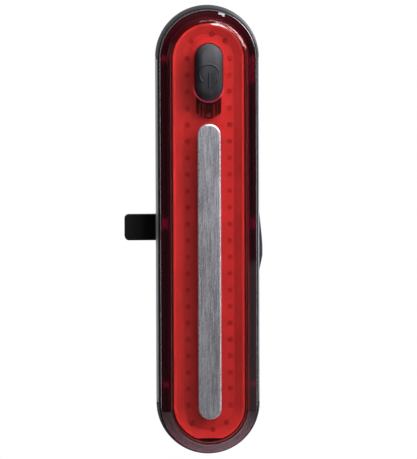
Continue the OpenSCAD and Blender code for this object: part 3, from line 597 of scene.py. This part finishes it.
def make_strap():
    """The strap: its width laid across the middle line, narrowed to the tab, rounded at the tip, slotted."""
    path = strap_path()
    along = np.concatenate([[0], np.cumsum(np.hypot(*np.diff(path, axis=0).T))])
    slot_rows = [int(np.argmin(np.hypot(path[:, 0] + LEG_X, path[:, 1] - y))) for y in SLOT_Y]
    slot_end = along[slot_rows[1]]
    narrow = smooth_step(along, slot_end + NARROW_START, slot_end + NARROW_END)
    to_tip = np.clip(1 - (along[-1] - along) / TIP_ROUND, 0, 1)
    half = STRAP_HALF + (TAB_HALF - STRAP_HALF) * narrow - TIP_ROUND * (1 - np.sqrt(1 - to_tip ** 2))
    share = SLOT_HALF / STRAP_HALF
    across = np.array([-1, -0.92, -0.7, -share, 0, share, 0.7, 0.92, 1])
    z = TAB_Z * narrow[:, None] + half[:, None] * across
    x, y = (np.broadcast_to(side[:, None], z.shape) for side in path.T)
    points = np.stack([x, y, z], -1)
    row, column = np.divmod(np.arange((len(path) - 1) * (len(across) - 1)), len(across) - 1)
    in_slot = (row >= slot_rows[0]) & (row < slot_rows[1]) & (np.abs(column - 3.5) < 1)
    band = make_mesh("strap_band", [(points, grid_faces(*z.shape)[~in_slot])])
    wall = band.modifiers.new("thickness", "SOLIDIFY")
    wall.thickness, wall.offset, wall.use_even_offset = STRAP_T * MM, 0, True
    edge = band.modifiers.new("soft_edges", "BEVEL")
    edge.width, edge.segments, edge.limit_method = STRAP_EDGE * MM, 3, "ANGLE"
    edge.angle_limit = math.radians(50)
    band.modifiers.new("face_normals", "WEIGHTED_NORMAL")
    dress(band, None, "strap", ["strap"])
    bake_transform(band)


def make_bead():
    """The bead at the strap's end: a rounded profile turned round an upright axis."""
    foot, top, side = (0, BEAD_FOOT), (0, BEAD_TOP), (BEAD_RADIUS, 0)
    profile = np.concatenate([
        [foot],
        rounded_corner(foot, (BEAD_RADIUS, BEAD_FOOT), side, BEAD_ROUND, 6),
        rounded_corner(side, (BEAD_RADIUS, BEAD_TOP), top, BEAD_ROUND, 6),
        [top]])
    turn = np.linspace(0, 2 * math.pi, 40, endpoint=False)[:, None]
    radius, z = profile.T
    points = np.stack([LEG_X + radius * np.cos(turn), BEAD_Y + radius * np.sin(turn),
                       np.broadcast_to(z, (40, len(z)))], -1)
    dress(make_mesh("strap_bead", [(points, grid_faces(40, len(z), ring_rows=True))]), "strap", "strap")


def make_saddle():
    """The saddle pad: two faces a wall apart round the tube, drawn together at both ends, grooved inside."""
    z = np.concatenate([-PAD_HALF + PAD_EDGE * (1 - np.cos(np.radians(np.linspace(0, 90, 8)))),
                        np.linspace(-PAD_HALF + PAD_EDGE, PAD_HALF - PAD_EDGE, 121)[1:-1],
                        PAD_HALF - PAD_EDGE * (1 - np.cos(np.radians(np.linspace(90, 0, 8))))])
    inset = np.clip((np.abs(z) - PAD_HALF + PAD_EDGE) / PAD_EDGE, 0, 1)
    wall = PAD_T / 2 * np.sqrt(1 - inset ** 2)
    groove = PAD_GROOVE * np.maximum(np.cos(2 * math.pi * z / PAD_PITCH), 0) ** 8
    groove = groove * (np.abs(z) < PAD_HALF - PAD_PLAIN)
    turn = np.radians(np.linspace(-PAD_ANGLE, PAD_ANGLE, 49))
    middle = TUBE_RADIUS + PAD_T / 2
    inner = np.broadcast_to((middle - wall + groove)[:, None], (len(z), len(turn)))
    outer = np.broadcast_to((middle + wall)[:, None], (len(z), len(turn)))
    radius = np.concatenate([inner, outer], 1)
    turn = np.concatenate([turn, turn[::-1]])
    height = np.broadcast_to(z[:, None], radius.shape)
    points = np.stack([radius * np.sin(turn), -radius * np.cos(turn), height], -1)
    pad = make_mesh("saddle_liner", [(points, grid_faces(*radius.shape, ring_columns=True))])
    dress(pad, "bracket", "strap", ["saddle_pad"])


make_lens()
make_strip()
make_button()
make_power_sign()
make_strap()
make_bead()
make_saddle()


def make_camera():
    """A camera at the photograph's angle, aimed so that the lamp lies where the photograph has it."""
    az, el, roll = (math.radians(a) for a in (CAMERA_AZIMUTH, CAMERA_ELEVATION, CAMERA_ROLL))
    ahead = Vector((-math.sin(az) * math.cos(el), math.cos(az) * math.cos(el), -math.sin(el)))
    right = Vector((math.cos(az), math.sin(az), 0))
    up = right.cross(ahead)
    right, up = right * math.cos(roll) - up * math.sin(roll), right * math.sin(roll) + up * math.cos(roll)
    metres_per_pixel = CAMERA_DISTANCE / FOCAL_PIXELS
    off_x, off_y = IMAGE_W / 2 - LAMP_PIXEL[0], IMAGE_H / 2 - LAMP_PIXEL[1]
    aim = LAMP_MIDDLE + metres_per_pixel * (right * off_x - up * off_y)
    data = bpy.data.cameras.new("camera")
    data.sensor_width = SENSOR_MM
    data.lens = FOCAL_PIXELS * SENSOR_MM / IMAGE_H
    data.clip_start, data.clip_end = 0.05, 50
    camera = bpy.data.objects.new("camera", data)
    turn = Matrix((right, up, -ahead)).transposed().to_4x4()
    camera.matrix_world = Matrix.Translation(aim - ahead * CAMERA_DISTANCE) @ turn
    bpy.context.scene.collection.objects.link(camera)
    bpy.context.scene.camera = camera


# The cool white of the lamps and the studio
LAMP_TINT = (0.975, 0.955, 1.03)


def softbox(name, way, distance, size, power, long_way=(0, 0, 1), mirrored=True, lights=True):
    """A lamp that faces the part's middle from one way, with its height along long_way.

    One that isn't mirrored gives no highlight, and one that doesn't light is there for its highlight.
    """
    back = Vector(way).normalized()
    side = Vector(long_way).cross(back).normalized()
    data = bpy.data.lights.new(name, "AREA")
    data.shape = "RECTANGLE"
    data.size, data.size_y = size
    data.energy = power
    data.color = LAMP_TINT
    lamp = bpy.data.objects.new(name, data)
    turn = Matrix((side, back.cross(side), back)).transposed().to_4x4()
    lamp.matrix_world = Matrix.Translation(LAMP_MIDDLE + back * distance) @ turn
    lamp.visible_camera = False
    lamp.visible_diffuse = lamp.visible_transmission = lights
    lamp.visible_glossy = mirrored
    bpy.context.scene.collection.objects.link(lamp)


# Brightness of the studio: all round, in front, behind, below and above
STUDIO_BASE, STUDIO_FRONT, STUDIO_BACK, STUDIO_LOW, STUDIO_TOP = 0.03, 0.05, 1.10, 0.12, 0.06


def make_world():
    """White to the camera; to other rays a dim studio that is grey in front, white behind and pale below."""
    world = bpy.data.worlds.new("studio")
    world.use_nodes = True
    bpy.context.scene.world = world
    s = Shade("studio", world.node_tree)
    ground = world.node_tree.nodes["Background"]
    way = s.add("ShaderNodeSeparateXYZ", sockets={0: s.add("ShaderNodeTexCoord", out="Generated")}, out="Y")
    height = Val(s, way.socket.node.outputs["Z"])
    studio = (STUDIO_BASE + STUDIO_FRONT * (0 - way).between(0.3, 0.95)
              + STUDIO_BACK * way.between(0.45, 0.85)
              + STUDIO_LOW * (0 - height).between(0.45, 0.95) + STUDIO_TOP * height.between(0.6, 0.95))
    seen = s.add("ShaderNodeLightPath", out="Is Camera Ray")
    s.feed(ground.inputs["Strength"], seen + (1 - seen) * studio)
    s.feed(ground.inputs["Color"], s.mix(seen, (*LAMP_TINT, 1), (1, 1, 1, 1)))


# The floor, in metres: how far below the part's middle, half its width, and where it starts and ends
FLOOR_DROP = 0.3
FLOOR_HALF = 0.9
FLOOR_FRONT, FLOOR_BACK = 0.03, 1.8


def make_floor():
    """A pale floor below and behind the lamp: a flat oblong at the drop's height, white to the camera."""
    u = np.array([-1.0, 1.0, 1.0, -1.0]) * FLOOR_HALF
    v = np.array([FLOOR_FRONT, FLOOR_FRONT, FLOOR_BACK, FLOOR_BACK])
    mesh = bpy.data.meshes.new("floor")
    mesh.from_pydata(np.stack([u, v, np.full(4, -FLOOR_DROP)], 1).tolist(), [], [(0, 1, 2, 3)])
    floor = bpy.data.objects.new("floor", mesh)
    bpy.context.scene.collection.objects.link(floor)
    s = Shade("floor_white")
    speck = s.noise((0.02, 0.02, 0.02))
    s.set(Base_Color=s.mix(speck, (0.82, 0.82, 0.82, 1), (0.86, 0.86, 0.86, 1)), Roughness=0.9)
    seen = s.add("ShaderNodeLightPath", out="Is Camera Ray")
    white = s.add("ShaderNodeEmission", sockets={"Color": (1, 1, 1, 1), "Strength": 1.0})
    s.feed(s.output.inputs["Surface"],
           s.add("ShaderNodeMixShader", sockets={0: seen, 1: Val(s, s.finish.outputs[0]), 2: white}))
    mesh.materials.append(s.material)


make_camera()
make_world()
make_floor()
softbox("key", (0.58, -0.49, 0.65), 0.42, (0.12, 0.42), 1.95, mirrored=False)
softbox("front", (0.35, -0.72, 0.60), 0.40, (0.2, 0.2), 0.30)
softbox("left", (-0.75, -0.6, 0.1), 0.9, (0.3, 0.6), 0.09)
softbox("left_rim", (-0.95, 0.2, 0.05), 0.9, (0.3, 0.6), 0.45, mirrored=False)
softbox("right", (0.9, -0.2, 0.4), 0.9, (0.3, 0.4), 0.35)
softbox("right_rim", (0.95, 0.25, 0.05), 0.9, (0.3, 0.6), 0.15, mirrored=False)
softbox("back", (0.6, 0.75, 0.42), 0.7, (0.35, 0.35), 1.8)
softbox("key_glint", (0.58, -0.49, 0.65), 0.42, (0.2, 0.38), 3.0, (-0.74, 0, 0.67), lights=False)
softbox("rim_glint", (0.62, 0.02, 0.78), 0.35, (0.08, 0.5), 0.8, (-0.78, 0, 0.62), lights=False)
softbox("strip_glint", (0.05, -0.20, 0.165), 0.265, (0.06, 0.06), 0.28, lights=False)
softbox("top_panel", (-0.05, -0.08, 1.0), 0.5, (0.15, 0.06), 0.16, (0, 1, 0), lights=False)
softbox("right_panel", (0.626, 0.315, -0.15), 0.716, (0.16, 0.15), 0.012, lights=False)
softbox("under_panel", (0.0, 0.122, -0.28), 0.3, (0.3, 0.1), 0.008, lights=False)
softbox("band_glint", (0.02295, 0.01654, 0.10036), 0.10427, (0.0008, 0.01), 0.00025, (-0.9, -0.05, 0.41),
        lights=False)

bpy.context.scene.view_settings.view_transform = "Standard"
